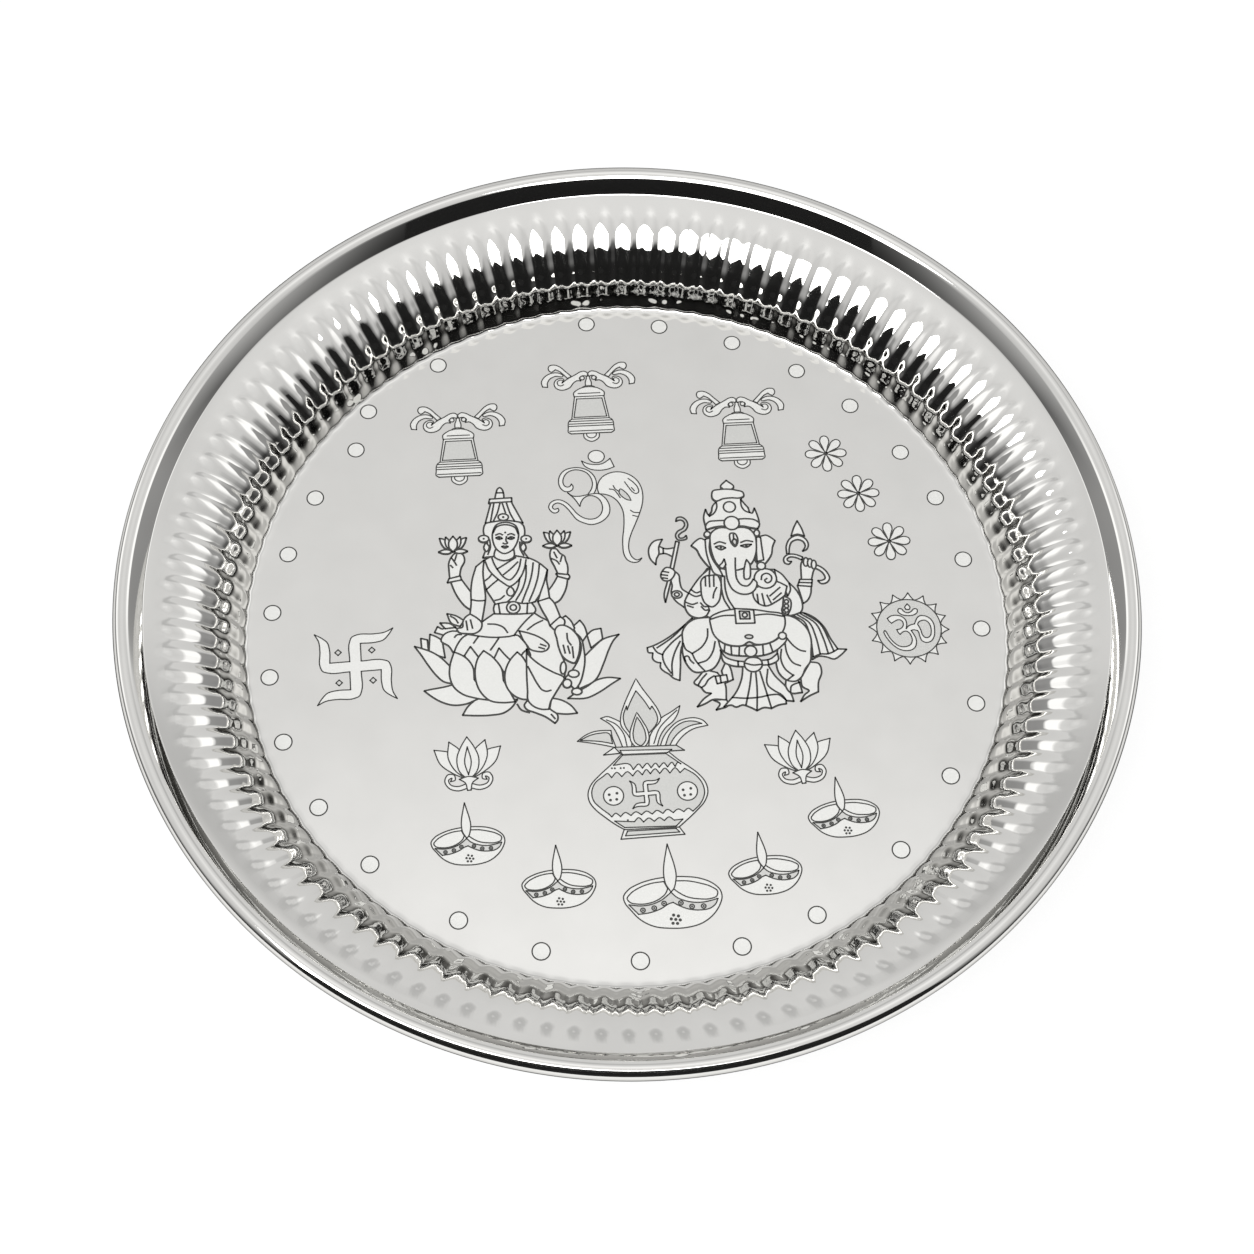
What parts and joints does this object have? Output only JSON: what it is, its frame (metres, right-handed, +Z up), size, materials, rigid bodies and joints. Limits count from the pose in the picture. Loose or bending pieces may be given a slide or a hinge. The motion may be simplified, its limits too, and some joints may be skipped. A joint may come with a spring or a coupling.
{
  "type": "puja thali",
  "caption": "Round shallow worship tray pressed from polished steel sheet, with a flat etched floor, a fluted flaring wall, a sloping brim and a rolled rim closed on a wire.",
  "frame": {"origin": "centre of the underside of the floor, where the tray rests", "axes": "+Z up along the tray's axis, +X to the right and +Y away from the viewer of the picture"},
  "size_m": [0.28, 0.28, 0.0302],
  "materials": {
    "polished_sheet": "polished",
    "drawn_wire": "drawn, hidden in the rim"
  },
  "bodies": {
    "root": {"pressed_pan": "polished_sheet", "rim_wire": "drawn_wire"}
  },
  "joints": []
}
